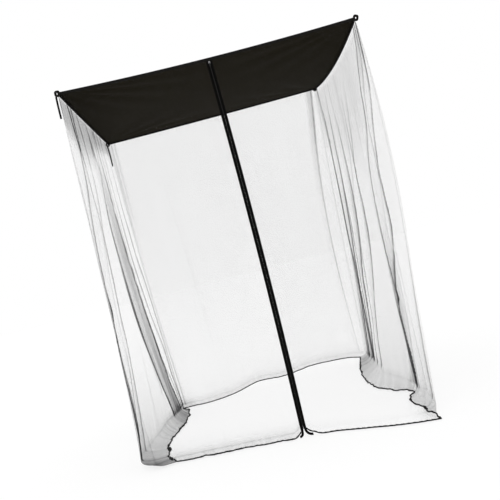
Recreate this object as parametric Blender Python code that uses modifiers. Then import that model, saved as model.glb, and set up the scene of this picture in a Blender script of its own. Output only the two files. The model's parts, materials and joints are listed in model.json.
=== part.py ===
"""Hanging chair mosquito net.

A box of fine black netting under a square roof of dense cloth. It hangs by loops at the four
roof corners, over a hanging chair, and its hem lies on the floor. A zip runs down the front.
Metres, +Z up. X runs to the right and Y to the back, seen from the zipped front. All sizes are
given from the middle of the roof. At the end the whole net is moved so that the origin is the
middle of its outer box, at floor level.
"""

from collections import namedtuple

import bmesh
import bpy
import numpy as np
from mathutils import Vector

# Driving dimensions
HALF = 0.80  # half a side of the square roof
FLOOR = -2.05  # height of the floor below the roof
SHEET = 0.0015  # thickness of roof cloth and netting
TAPE = 0.0018  # thickness of binding tape, webbing and ties
BINDING_DEPTH = 0.015  # how far the roof binding hangs down
HEM_RADIUS = 0.0045  # the hem binding is rolled round the netting's edge
GAP = 0.0004  # between pieces that are sewn together
LOOSE_HEM_GAP = 0.0013  # where a hem turns under the netting
SEAM_GAP = 0.0020  # from a corner seam to the netting on each side of it
FOOT = 0.035  # height over the hem at which the netting turns along the floor
FLOOR_CLEAR = 0.0002

ZIP_TEETH_WIDTH = 0.0050
ZIP_TEETH_THICKNESS = 0.0026
ZIP_TAPE_WIDTH = 0.0132
ZIP_TAPE_THICKNESS = 0.0012
ZIP_HALF = ZIP_TEETH_WIDTH / 2 + GAP + ZIP_TAPE_WIDTH
ZIP_BENDS = {"left": 0.018, "right": 0.035}  # radius of each tape's turn into the hem
ZIP_WAIST = 0.012  # how far the zip leans to the right at half height
ZIP_LIFTS = {"left": 0.026, "right": 0.041}  # height at which each front hem meets the zip
SLIDER_DROP = 0.010  # from the roof binding down to the slider
SLIDER_WIDTH = 0.0090
SLIDER_LENGTH = 0.0110
SLIDER_PLATE = 0.0010
BRIDGE_SIZE = (0.0018, 0.0024)  # width and height of the post between the slider's plates
PULL_SIZE = (0.0056, 0.0012, 0.0210)
PULL_HOLE = (0.0030, 0.0036)

LOOP_RADIUS = 0.0034  # half the thickness of the rolled webbing of a corner loop
LOOP_LENGTH = 0.0220  # along the middle of the webbing, as LOOP_WIDTH
LOOP_WIDTH = 0.0180
TIE_WIDTH = 0.0100

# Corners of the roof: it is pulled up unevenly by the loops.
ROOF_CORNERS = {
    "front_left": Vector((-HALF, -HALF, 0.000)),
    "front_right": Vector((HALF, -HALF, 0.012)),
    "back_left": Vector((-HALF, HALF, -0.004)),
    "back_right": Vector((HALF, HALF, 0.026)),
}
# Edges of the roof, each with its two corners and how far its middle sags.
Edge = namedtuple("Edge", "start end sag")
ROOF_EDGES = {
    "front": Edge("front_left", "front_right", 0.018),
    "back": Edge("back_left", "back_right", 0.004),
    "left": Edge("front_left", "back_left", 0.004),
    "right": Edge("front_right", "back_right", 0.045),
}

# A fold line runs down the netting from the roof, past the waist at half height, to the foot,
# where the netting meets the floor, and on along the floor to the hem. top is its share of the
# way along the roof edge, and lift is the height of the hem over the floor.
Fold = namedtuple("Fold", "top waist_x waist_y foot_x foot_y hem_x hem_y lift")

# Two walls share the fold line of their seam, so its top is left to the wall.
SEAMS = {
    "front_left": (-0.809, -0.800, -0.800, -0.690, -0.698, -0.622, 0.0),
    "front_right": (0.790, -0.820, 0.585, -1.045, 0.638, -1.115, 0.0),
    "back_left": (-0.777, 0.800, -0.745, 0.800, -0.747, 0.790, 0.0),
    "back_right": (0.730, 0.800, 0.680, 0.800, 0.625, 0.800, 0.030),
    "zip_left": (
        ZIP_WAIST - ZIP_HALF, -HALF, -ZIP_HALF - GAP, -HALF, -ZIP_HALF, -HALF, ZIP_LIFTS["left"]
    ),
    "zip_right": (
        ZIP_WAIST + ZIP_HALF, -HALF, ZIP_HALF, -HALF, ZIP_HALF, -HALF, ZIP_LIFTS["right"]
    ),
}
LEFT_FOLDS = (
    Fold(0.03, -0.834, -0.680, -0.885, -0.600, -0.735, -0.545, 0.0),
    Fold(0.08, -0.797, -0.580, -0.905, -0.500, -0.750, -0.470, 0.0),
    Fold(0.14, -0.820, -0.440, -0.912, -0.380, -0.762, -0.360, 0.0),
    Fold(0.22, -0.796, -0.320, -0.885, -0.180, -0.775, -0.210, 0.0),
    Fold(0.31, -0.794, -0.170, -0.850, 0.080, -0.762, -0.060, 0.0),
    Fold(0.41, -0.786, 0.160, -0.822, 0.340, -0.735, 0.100, 0.0),
    Fold(0.47, -0.826, 0.050, -0.800, 0.440, -0.715, 0.200, 0.0),
    Fold(0.53, -0.806, 0.300, -0.783, 0.520, -0.702, 0.290, 0.0),
    Fold(0.63, -0.797, 0.390, -0.768, 0.590, -0.692, 0.380, 0.0),
    Fold(0.73, -0.813, 0.480, -0.757, 0.650, -0.686, 0.480, 0.0),
    Fold(0.84, -0.780, 0.610, -0.750, 0.700, -0.687, 0.570, 0.0),
    Fold(0.92, -0.797, 0.710, -0.745, 0.750, -0.700, 0.680, 0.0),
)
RIGHT_FOLDS = (
    Fold(0.05, 0.786, -0.740, 0.668, -0.960, 0.634, -1.005, 0.0),
    Fold(0.11, 0.744, -0.670, 0.700, -0.720, 0.625, -0.800, 0.0),
    Fold(0.18, 0.762, -0.560, 0.722, -0.610, 0.613, -0.700, 0.0),
    Fold(0.26, 0.727, -0.460, 0.690, -0.530, 0.628, -0.580, 0.0),
    Fold(0.35, 0.762, -0.300, 0.715, -0.420, 0.680, -0.481, 0.0),
    Fold(0.43, 0.722, -0.140, 0.680, -0.150, 0.612, -0.360, 0.0),
    Fold(0.52, 0.750, 0.000, 0.645, 0.140, 0.545, -0.190, 0.0),
    Fold(0.60, 0.716, 0.110, 0.672, 0.280, 0.522, -0.050, 0.0),
    Fold(0.68, 0.743, 0.240, 0.660, 0.360, 0.518, 0.080, 0.0),
    Fold(0.76, 0.719, 0.340, 0.690, 0.470, 0.528, 0.250, 0.0),
    Fold(0.83, 0.741, 0.460, 0.672, 0.540, 0.546, 0.400, 0.0),
    Fold(0.89, 0.724, 0.550, 0.698, 0.640, 0.566, 0.530, 0.0),
    Fold(0.95, 0.752, 0.700, 0.686, 0.730, 0.598, 0.680, 0.0),
)
BACK_FOLDS = (
    Fold(0.08, -0.670, 0.794, -0.665, 0.787, -0.655, 0.783, 0.0),
    Fold(0.17, -0.535, 0.803, -0.545, 0.772, -0.545, 0.765, 0.0),
    Fold(0.28, -0.370, 0.798, -0.360, 0.785, -0.353, 0.790, 0.010),
    Fold(0.41, -0.170, 0.804, -0.160, 0.800, -0.155, 0.800, 0.050),
    Fold(0.53, 0.035, 0.797, 0.040, 0.804, 0.044, 0.804, 0.040),
    Fold(0.67, 0.260, 0.804, 0.265, 0.800, 0.268, 0.800, 0.063),
    Fold(0.83, 0.500, 0.797, 0.510, 0.803, 0.518, 0.803, 0.050),
)
FRONT_LEFT_FOLDS = (
    Fold(0.09, -0.735, -0.812, -0.700, -0.650, -0.640, -0.645, 0.0),
    Fold(0.21, -0.635, -0.793, -0.600, -0.668, -0.560, -0.663, 0.0),
    Fold(0.38, -0.480, -0.806, -0.450, -0.698, -0.440, -0.692, 0.0),
    Fold(0.60, -0.305, -0.796, -0.290, -0.732, -0.285, -0.727, 0.0),
    Fold(0.80, -0.145, -0.803, -0.150, -0.772, -0.150, -0.770, 0.0),
    Fold(0.89, -0.075, -0.801, -0.088, -0.791, -0.088, -0.790, 0.001),
    Fold(0.94, -0.036, -0.800, -0.050, -0.800, -0.050, -0.800, 0.002),
    Fold(0.98, -0.017, -0.800, -0.030, -0.800, -0.030, -0.800, 0.015),
)
FRONT_RIGHT_FOLDS = (
    Fold(0.02, 0.041, -0.800, 0.030, -0.800, 0.030, -0.800, 0.024),
    Fold(0.06, 0.060, -0.800, 0.050, -0.800, 0.050, -0.800, 0.014),
    Fold(0.11, 0.097, -0.800, 0.088, -0.816, 0.088, -0.822, 0.001),
    Fold(0.24, 0.200, -0.804, 0.175, -0.850, 0.172, -0.858, 0.0),
    Fold(0.42, 0.345, -0.797, 0.305, -0.930, 0.300, -0.942, 0.0),
    Fold(0.62, 0.500, -0.812, 0.425, -1.005, 0.420, -1.020, 0.0),
    Fold(0.80, 0.640, -0.803, 0.505, -1.030, 0.520, -1.074, 0.0),
    Fold(0.91, 0.718, -0.826, 0.545, -1.045, 0.580, -1.097, 0.0),
)

# A loop is sewn to each corner, over the end of the front or back binding: its middle, from the
# corner of the roof, and how far it is turned from lying flat along the binding.
Loop = namedtuple("Loop", "x z turn")
LOOPS = {
    "front_left": Loop(0.001, -0.0080, 90),
    "front_right": Loop(0.003, -0.0060, 70),
    "back_left": Loop(0.003, -0.0095, 90),
    "back_right": Loop(-0.002, -0.0085, 90),
}
# A tie hangs from a loop: where it starts beside the middle of the loop, its length, and how
# far its middle and its end swing out.
Tie = namedtuple("Tie", "beside length middle end")
TIES = {
    "front_left": Tie(-0.0095, 0.116, -0.001, -0.002),
    "back_left": Tie(-0.006, 0.150, 0.002, 0.001),
}

# Colours: RGB
BLACK_CLOTH = (0.017, 0.015, 0.012)
BLACK_NET = (0.020, 0.020, 0.021)
BLACK_TAPE = (0.008, 0.008, 0.009)
GREY_METAL = (0.62, 0.62, 0.63)

for old in list(bpy.data.objects):
    bpy.data.objects.remove(old, do_unlink=True)

collection = bpy.data.collections.new("hanging_chair_mosquito_net")
bpy.context.scene.collection.children.link(collection)
net = bpy.data.objects.new("net_origin", None)
collection.objects.link(net)


def finish(name, colour, roughness, metallic=0.0):
    """One Principled material."""
    material = bpy.data.materials.new(name)
    material.use_nodes = True
    shader = material.node_tree.nodes["Principled BSDF"]
    shader.inputs["Base Color"].default_value = (*colour, 1.0)
    shader.inputs["Roughness"].default_value = roughness
    shader.inputs["Metallic"].default_value = metallic
    return material


ROOF_CLOTH = finish("roof_cloth", BLACK_CLOTH, 0.85)
NETTING = finish("netting", BLACK_NET, 0.80)
BINDING = finish("binding_tape", BLACK_TAPE, 0.75)
WEBBING = finish("webbing", BLACK_TAPE, 0.70)
ZIP_TAPE = finish("zip_tape", BLACK_TAPE, 0.75)
ZIP_COIL = finish("zip_coil", BLACK_TAPE, 0.45)
ZIP_METAL = finish("zip_metal", GREY_METAL, 0.35, 1.0)


def place(name, data, material):
    """Adds an object to the net."""
    piece = bpy.data.objects.new(name, data)
    collection.objects.link(piece)
    piece.parent = net
    data.materials.append(material)
    return piece


def sheet(name, grid, thickness, material):
    """A sheet of cloth: the open surface through a grid of points, made solid."""
    columns, levels = len(grid), len(grid[0])
    points = [point for column in grid for point in column]
    faces = [
        (i * levels + j, (i + 1) * levels + j, (i + 1) * levels + j + 1, i * levels + j + 1)
        for i in range(columns - 1)
        for j in range(levels - 1)
    ]
    mesh = bpy.data.meshes.new(name)
    mesh.from_pydata(points, [], faces)
    mesh.shade_smooth()
    piece = place(name, mesh, material)
    solid = piece.modifiers.new("thickness", "SOLIDIFY")
    solid.thickness = thickness
    solid.offset = 0.0
    return piece


def through(rows, steps):
    """A smooth curve through the rows, with this many steps from each row to the next."""
    rows = np.array(rows, float)
    before = np.vstack([2 * rows[0] - rows[1], rows[:-1]])
    after = np.vstack([rows[1:], 2 * rows[-1] - rows[-2]])
    slope = (after - before) / 2
    curve = []
    for i in range(len(rows) - 1):
        for t in np.arange(steps) / steps:
            curve.append(
                (2 * t**3 - 3 * t**2 + 1) * rows[i]
                + (t**3 - 2 * t**2 + t) * slope[i]
                + (3 * t**2 - 2 * t**3) * rows[i + 1]
                + (t**3 - t**2) * slope[i + 1]
            )
    return [*curve, rows[-1]]


def on_edge(side, share, down=0.0):
    """The point of a roof edge at this share of its length, lowered by down."""
    edge = ROOF_EDGES[side]
    start, end = ROOF_CORNERS[edge.start], ROOF_CORNERS[edge.end]
    dip = 4 * edge.sag * share * (1 - share)
    return start.lerp(end, share) - Vector((0, 0, dip + down))


# Roof panel: one square of cloth that hangs between its four bound edges.
ROOF_STEPS = 14


def roof_point(across, back):
    """A point of the roof, blended from its four edges."""
    corners = (
        ROOF_CORNERS["front_left"] * (1 - across) * (1 - back)
        + ROOF_CORNERS["front_right"] * across * (1 - back)
        + ROOF_CORNERS["back_left"] * (1 - across) * back
        + ROOF_CORNERS["back_right"] * across * back
    )
    front_back = on_edge("front", across) * (1 - back) + on_edge("back", across) * back
    left_right = on_edge("left", back) * (1 - across) + on_edge("right", back) * across
    return front_back + left_right - corners


inset = (TAPE / 2 + GAP) / (2 * HALF)
shares = np.linspace(inset, 1 - inset, ROOF_STEPS + 1)
lowered = Vector((0, 0, 2 * SHEET))
sheet(
    "roof_panel",
    [[roof_point(across, back) - lowered for back in shares] for across in shares],
    SHEET,
    ROOF_CLOTH,
)

# Roof binding: a strip of tape folded over each edge, standing on edge outside the roof panel.
BINDING_STEPS = 12
for side in ROOF_EDGES:
    # the side strips butt against the front and back strips
    trim = (TAPE / 2 + GAP) / (2 * HALF) if side in ("left", "right") else 0.0
    strip = [
        [on_edge(side, share), on_edge(side, share, BINDING_DEPTH)]
        for share in np.linspace(trim, 1 - trim, BINDING_STEPS + 1)
    ]
    sheet(f"roof_binding_{side}", strip, TAPE, BINDING)


# Netting walls
HANG_LEVELS = 15
FLOOR_LEVELS = 4


def hanging(side, fold):
    """The points down the hanging part of one fold line, and the point of the hem below it."""
    top, waist_x, waist_y, foot_x, foot_y, hem_x, hem_y, lift = fold
    start = on_edge(side, top, BINDING_DEPTH + GAP)
    hem = Vector((hem_x, hem_y, FLOOR + FLOOR_CLEAR + HEM_RADIUS + lift))
    foot = Vector((foot_x, foot_y, hem.z + FOOT))
    waist = Vector((waist_x, waist_y, (start.z + foot.z) / 2))
    points = []
    for step in range(HANG_LEVELS + 1):
        t = step / HANG_LEVELS
        points.append(
            start * (1 - t) * (1 - 2 * t) + waist * 4 * t * (1 - t) + foot * t * (2 * t - 1)
        )
    return points, hem


def lying(foot, hem, along, gap):
    """The points from the foot to this gap from the hem binding, which runs along this way."""
    back = foot - hem
    back -= along * back.dot(along)
    edge = hem + back.normalized() * (HEM_RADIUS + SHEET / 2 + gap)
    bend = Vector((foot.x, foot.y, edge.z))
    points = []
    for step in range(1, FLOOR_LEVELS + 1):
        t = step / FLOOR_LEVELS
        points.append(foot * (1 - t) ** 2 + bend * 2 * t * (1 - t) + edge * t**2)
    return points


def drawn_in(first, second, distance):
    """The first point, moved towards the second."""
    return first + (second - first).normalized() * distance


def wall(name, side, rows, steps, gaps, hem_gap):
    """One netting panel on its fold lines. Returns the line of its hem."""
    lines = [hanging(side, row) for row in through(rows, steps)]
    hems = [hem for points, hem in lines]
    grid = []
    for i, (points, hem) in enumerate(lines):
        inside = 0 < i < len(hems) - 1
        along = (hems[i + 1] - hems[i - 1]).normalized() if inside else Vector()
        grid.append(points + lying(points[-1], hem, along, hem_gap))
    for i, j, gap in ((0, 1, gaps[0]), (-1, -2, gaps[1])):
        grid[i] = [drawn_in(first, second, gap) for first, second in zip(grid[i], grid[j])]
    sheet(f"netting_{name}", grid, SHEET, NETTING)
    return hems


zip_share = ZIP_HALF / (2 * HALF)
front_left_rows = [
    Fold(row.top * (0.5 - zip_share), *row[1:]) for row in FRONT_LEFT_FOLDS
]
front_right_rows = [
    Fold(0.5 + zip_share + row.top * (0.5 - zip_share), *row[1:]) for row in FRONT_RIGHT_FOLDS
]
Wall = namedtuple("Wall", "side first folds last steps gaps hem_gap", defaults=(GAP,))
CORNER_GAPS = (SEAM_GAP, SEAM_GAP)
WALLS = {
    "left": Wall("left", (0, "front_left"), LEFT_FOLDS, (1, "back_left"), 3, CORNER_GAPS),
    "right": Wall(
        "right",
        (0, "front_right"),
        RIGHT_FOLDS,
        (1, "back_right"),
        3,
        CORNER_GAPS,
        LOOSE_HEM_GAP,
    ),
    "back": Wall("back", (0, "back_left"), BACK_FOLDS, (1, "back_right"), 3, CORNER_GAPS),
    "front_left": Wall(
        "front",
        (0, "front_left"),
        front_left_rows,
        (0.5 - zip_share, "zip_left"),
        2,
        (SEAM_GAP, GAP),
    ),
    "front_right": Wall(
        "front",
        (0.5 + zip_share, "zip_right"),
        front_right_rows,
        (1, "front_right"),
        2,
        (GAP, SEAM_GAP),
    ),
}
hem_lines = {}
for name, panel in WALLS.items():
    rows = [(top, *SEAMS[seam]) for top, seam in (panel.first, panel.last)]
    rows[1:1] = panel.folds
    hem_lines[name] = wall(name, panel.side, rows, panel.steps, panel.gaps, panel.hem_gap)


def tube(name, line, radius, material, closed=False):
    """A round cord along a line of points."""
    curve = bpy.data.curves.new(name, "CURVE")
    curve.dimensions = "3D"
    curve.bevel_depth = radius
    curve.bevel_resolution = 2
    curve.use_fill_caps = True
    spline = curve.splines.new("POLY")
    spline.points.add(len(line) - 1)
    for knot, point in zip(spline.points, line):
        knot.co = (*point, 1.0)
    spline.use_cyclic_u = closed
    spline.use_smooth = True
    return place(name, curve, material)


# Hem binding: a tape rolled round the lower edge of each panel, lying on the floor.
HEM_TRIM = {"front_left": 1.8, "front_right": 4.4, "zip": 1.6, "back_left": 3.2, "back_right": 2.0}
HEM_ENDS = {
    "left": ("front_left", "back_left"),
    "right": ("front_right", "back_right"),
    "back": ("back_left", "back_right"),
    "front_left": ("front_left", "zip"),
    "front_right": ("zip", "front_right"),
}
for name, line in hem_lines.items():
    first, last = (HEM_TRIM[end] * HEM_RADIUS for end in HEM_ENDS[name])
    trimmed = [
        drawn_in(line[0], line[1], first),
        *line[1:-1],
        drawn_in(line[-1], line[-2], last),
    ]
    tube(f"hem_binding_{name}", trimmed, HEM_RADIUS, BINDING)

# Zip: the middle line of the teeth hangs from the roof binding, and the tapes part near the floor.
zip_line, _ = hanging("front", (0.5, ZIP_WAIST, -HALF, 0, -HALF, 0, -HALF, ZIP_LIFTS["right"]))
tape_ends = Vector((0, -HALF, FLOOR + FLOOR_CLEAR + ZIP_TAPE_WIDTH / 2))
zip_line.append(tape_ends + Vector((0, 0, ZIP_BENDS["right"])))
BEND_LEVELS = 6
for side, outward in (("left", -1), ("right", 1)):
    inner, outer = (
        Vector((outward * distance, 0, 0)) for distance in (ZIP_TEETH_WIDTH / 2 + GAP, ZIP_HALF)
    )
    grid = [[point + inner, point + outer] for point in zip_line]
    bend = ZIP_BENDS[side]
    turn = tape_ends + (inner + outer) / 2 + Vector((outward * bend, 0, bend))
    for angle in np.radians(np.linspace(0, 90, BEND_LEVELS + 1)[1:]):
        spoke = Vector((-outward * np.cos(angle), 0, -np.sin(angle)))
        grid.append(
            [
                turn + spoke * (bend + ZIP_TAPE_WIDTH / 2),
                turn + spoke * (bend - ZIP_TAPE_WIDTH / 2),
            ]
        )
    sheet(f"zip_tape_{side}", grid, ZIP_TAPE_THICKNESS, ZIP_TAPE)

half_teeth = Vector((ZIP_TEETH_WIDTH / 2, 0, 0))
teeth = sheet(
    "zip_teeth",
    [[point - half_teeth, point + half_teeth] for point in zip_line],
    ZIP_TEETH_THICKNESS,
    ZIP_COIL,
)

cutters = bpy.data.collections.new("cutters")
bpy.context.scene.collection.children.link(cutters)
cutters.hide_render = True


def box(name, middle, size, material=None):
    """A box. Without a material it is a cutter."""
    mesh = bpy.data.meshes.new(name)
    shape = bmesh.new()
    bmesh.ops.create_cube(shape, size=1.0)
    bmesh.ops.scale(shape, vec=size, verts=shape.verts)
    bmesh.ops.translate(shape, vec=middle, verts=shape.verts)
    shape.to_mesh(mesh)
    shape.free()
    if material:
        return place(name, mesh, material)
    cutter = bpy.data.objects.new(name, mesh)
    cutters.objects.link(cutter)
    cutter.parent = net
    cutter.hide_render = True
    return cutter


def combine(piece, other, operation):
    """Joins another shape to the piece, or cuts it out."""
    boolean = piece.modifiers.new(other.name, "BOOLEAN")
    boolean.operation = operation
    boolean.solver = "EXACT"
    boolean.object = other


# Slider: two plates over the teeth, joined by a post between the tapes, with a staple in front
# that holds the pull.
slider_middle = zip_line[0].lerp(
    zip_line[1], SLIDER_DROP / (zip_line[0].z - zip_line[1].z)
)
plate_y = ZIP_TEETH_THICKNESS / 2 + GAP + SLIDER_PLATE / 2
plate_size = (SLIDER_WIDTH, SLIDER_PLATE, SLIDER_LENGTH)
slider = box("zip_slider", slider_middle - Vector((0, plate_y, 0)), plate_size, ZIP_METAL)
back_plate = box("back_plate", slider_middle + Vector((0, plate_y, 0)), plate_size)
post_middle = slider_middle + Vector((0, 0, SLIDER_LENGTH / 2 - BRIDGE_SIZE[1] / 2 - 0.001))
post = box("post", post_middle, (BRIDGE_SIZE[0], 2 * plate_y, BRIDGE_SIZE[1]))
notch_size = (BRIDGE_SIZE[0] + 2 * GAP, 4 * ZIP_TEETH_THICKNESS, BRIDGE_SIZE[1] + 2 * GAP)
notch = box("notch", post_middle, notch_size)
staple_middle = slider_middle - Vector((0, plate_y + 0.0013, 0))
staple = box("staple", staple_middle, (0.0012, 0.0032, 0.0060))
staple_hole = box("staple_hole", staple_middle - Vector((0, 0.0001, 0)), (0.004, 0.0018, 0.0036))
combine(teeth, notch, "DIFFERENCE")
combine(staple, staple_hole, "DIFFERENCE")
for joined in (post, back_plate, staple):
    combine(slider, joined, "UNION")

# The pull hangs from the staple by the hole at its top.
pull_top = staple_middle + Vector((0, -0.0001, 0.0014))
pull = box("zip_pull", pull_top - Vector((0, 0, PULL_SIZE[2] / 2)), PULL_SIZE, ZIP_METAL)
pull_hole = box(
    "pull_hole",
    pull_top - Vector((0, 0, 0.0014 + PULL_HOLE[1] / 2)),
    (PULL_HOLE[0], 4 * PULL_SIZE[1], PULL_HOLE[1]),
)
combine(pull, pull_hole, "DIFFERENCE")


# Corner loops of rolled webbing, with a tie sewn to each of the two on the left.
LOOP_POINTS = 16
for name, loop in LOOPS.items():
    corner = ROOF_CORNERS[name]
    outward = 1 if "right" in name else -1
    behind = 1 if "back" in name else -1
    middle = corner + Vector(
        (outward * loop.x, behind * (TAPE / 2 + GAP + LOOP_RADIUS), loop.z)
    )
    turn = np.radians(loop.turn)
    ring = []
    for angle in np.linspace(0, 2 * np.pi, LOOP_POINTS, endpoint=False):
        # a rounded oblong
        along = LOOP_LENGTH / 2 * np.sign(np.cos(angle)) * abs(np.cos(angle)) ** 0.6
        across = LOOP_WIDTH / 2 * np.sign(np.sin(angle)) * abs(np.sin(angle)) ** 0.6
        ring.append(
            middle
            + Vector(
                (
                    outward * (along * np.cos(turn) - across * np.sin(turn)),
                    0,
                    along * np.sin(turn) + across * np.cos(turn),
                )
            )
        )
    tube(f"corner_loop_{name}", ring, LOOP_RADIUS, WEBBING, closed=True)
    if name not in TIES:
        continue
    tie = TIES[name]
    start = middle + Vector((tie.beside, 0, -LOOP_LENGTH / 2 - LOOP_RADIUS - GAP))
    half_tie = Vector((TIE_WIDTH / 2, 0, 0))
    strip = []
    for t in np.linspace(0, 1, 9):
        swing = 4 * tie.middle * t * (1 - t) + tie.end * t * t
        point = start + Vector((swing, 0, -tie.length * t))
        strip.append([point - half_tie, point + half_tie])
    sheet(f"tie_{name}", strip, TAPE, WEBBING)

# The origin goes to the middle of the whole net, at floor level.
bpy.context.view_layer.update()
reach = [
    piece.matrix_world @ Vector(corner)
    for piece in collection.objects
    if piece.type in ("MESH", "CURVE")
    for corner in piece.bound_box
]
lows = [min(point[axis] for point in reach) for axis in range(3)]
highs = [max(point[axis] for point in reach) for axis in range(3)]
net.location = (-(lows[0] + highs[0]) / 2, -(lows[1] + highs[1]) / 2, -lows[2])
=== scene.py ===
"""Hanging chair mosquito net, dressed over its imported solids: a box of fine black netting under
a square cloth roof, with a zip down the front and a bound hem that lies on the floor.
Metres, +Z up, X to the right and Y to the back, seen from the zipped front.
"""

import json
from collections import namedtuple

import bpy
import numpy as np
from mathutils import Matrix, Vector

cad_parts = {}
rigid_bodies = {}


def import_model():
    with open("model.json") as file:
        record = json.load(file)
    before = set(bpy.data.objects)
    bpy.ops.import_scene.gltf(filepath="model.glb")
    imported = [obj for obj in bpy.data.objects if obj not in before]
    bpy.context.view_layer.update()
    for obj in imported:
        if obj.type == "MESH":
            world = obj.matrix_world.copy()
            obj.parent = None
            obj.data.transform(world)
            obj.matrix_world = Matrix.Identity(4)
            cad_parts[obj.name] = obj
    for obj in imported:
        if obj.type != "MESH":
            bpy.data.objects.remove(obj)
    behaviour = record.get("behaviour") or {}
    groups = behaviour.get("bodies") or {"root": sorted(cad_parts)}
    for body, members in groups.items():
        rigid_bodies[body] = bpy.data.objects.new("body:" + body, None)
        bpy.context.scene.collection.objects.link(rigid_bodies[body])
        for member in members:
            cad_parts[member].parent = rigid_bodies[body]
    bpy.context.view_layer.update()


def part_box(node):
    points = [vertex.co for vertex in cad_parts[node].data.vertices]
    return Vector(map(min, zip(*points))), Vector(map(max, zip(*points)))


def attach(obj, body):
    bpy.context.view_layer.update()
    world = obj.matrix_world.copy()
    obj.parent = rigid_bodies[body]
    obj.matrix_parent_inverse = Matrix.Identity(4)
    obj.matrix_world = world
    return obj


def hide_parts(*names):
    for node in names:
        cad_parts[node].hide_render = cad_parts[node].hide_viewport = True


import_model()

# ---------------------------------------------------------------------------------------------
# Roof panel: one square of dense black-brown cotton, hung by its four corners so that it sags.
# It is cut and hemmed flat. Everything else is set out from its middle.
ROOF_HALF = 0.80
ROOF_CLOTH_COLOUR = (0.0085, 0.0068, 0.0030)
ROOF_CLOTH_WORN = (0.0106, 0.0087, 0.0044)
ROOF_THREAD = 0.0011
FRONT_RIGHT_LIFT = 0.012

front_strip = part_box("roof_binding_front")
left_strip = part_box("roof_binding_left")
ROOF_MIDDLE = Vector(
    (
        (left_strip[0].x + left_strip[1].x) / 2 + ROOF_HALF,
        (front_strip[0].y + front_strip[1].y) / 2 + ROOF_HALF,
        front_strip[1].z - FRONT_RIGHT_LIFT,
    )
)
ROOF_CORNERS = {
    "front_left": Vector((-ROOF_HALF, -ROOF_HALF, 0.000)),
    "front_right": Vector((ROOF_HALF, -ROOF_HALF, FRONT_RIGHT_LIFT)),
    "back_left": Vector((-ROOF_HALF, ROOF_HALF, -0.004)),
    "back_right": Vector((ROOF_HALF, ROOF_HALF, 0.026)),
}
Edge = namedtuple("Edge", "start end sag")
ROOF_EDGES = {
    "front": Edge("front_left", "front_right", 0.018),
    "back": Edge("back_left", "back_right", 0.004),
    "left": Edge("front_left", "back_left", 0.004),
    "right": Edge("front_right", "back_right", 0.045),
}


def on_edge(side, share, down=0.0):
    """The point of a roof edge at this share of its length, lowered by down."""
    edge = ROOF_EDGES[side]
    start, end = ROOF_CORNERS[edge.start], ROOF_CORNERS[edge.end]
    dip = 4 * edge.sag * share * (1 - share)
    return start.lerp(end, share) - Vector((0, 0, dip + down))


def roof_point(across, back):
    """A point of the roof, blended from its four edges, with creases that run from the corners."""
    corners = (
        ROOF_CORNERS["front_left"] * (1 - across) * (1 - back)
        + ROOF_CORNERS["front_right"] * across * (1 - back)
        + ROOF_CORNERS["back_left"] * (1 - across) * back
        + ROOF_CORNERS["back_right"] * across * back
    )
    front_back = on_edge("front", across) * (1 - back) + on_edge("back", across) * back
    left_right = on_edge("left", back) * (1 - across) + on_edge("right", back) * across
    inward = min(across, 1 - across, back, 1 - back)
    crease = 0.0
    for x, y in ((0, 0), (1, 0), (0, 1), (1, 1)):
        reach = np.hypot(across - x, back - y)
        bearing = np.arctan2(abs(back - y), abs(across - x) + 1e-9)
        crease += np.sin(bearing * 17 + 2 * x + y) * np.exp(-((reach / 0.30) ** 2)) * reach
    drop = 0.003 - 0.030 * crease * min(1.0, inward * 12)
    return front_back + left_right - corners - Vector((0, 0, drop))


def cloth_mesh(name, grid, uv_of, closed=False, cover=None):
    """A mesh piece through a grid of points, with its cloth lengths as UVs."""
    columns, levels = len(grid), len(grid[0])
    points = [tuple(ROOF_MIDDLE + point) for column in grid for point in column]
    faces = []
    for i in range(columns if closed else columns - 1):
        k = (i + 1) % columns
        for j in range(levels - 1):
            faces.append(
                (i * levels + j, k * levels + j, k * levels + j + 1, i * levels + j + 1)
            )
    mesh = bpy.data.meshes.new(name)
    mesh.from_pydata(points, [], faces)
    mesh.shade_smooth()
    lengths = mesh.uv_layers.new(name="lengths")
    for face in mesh.polygons:
        seam = max(mesh.loops[i].vertex_index for i in face.loop_indices) // levels
        for i in face.loop_indices:
            column, level = divmod(mesh.loops[i].vertex_index, levels)
            if closed and column == 0 and seam == columns - 1:
                column = columns
            lengths.data[i].uv = uv_of(column, level)
    if cover is not None:
        values = mesh.attributes.new("cover", "FLOAT", "POINT")
        values.data.foreach_set("value", np.array(cover, np.float32).ravel())
    piece = bpy.data.objects.new(name, mesh)
    bpy.context.scene.collection.objects.link(piece)
    return piece


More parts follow.
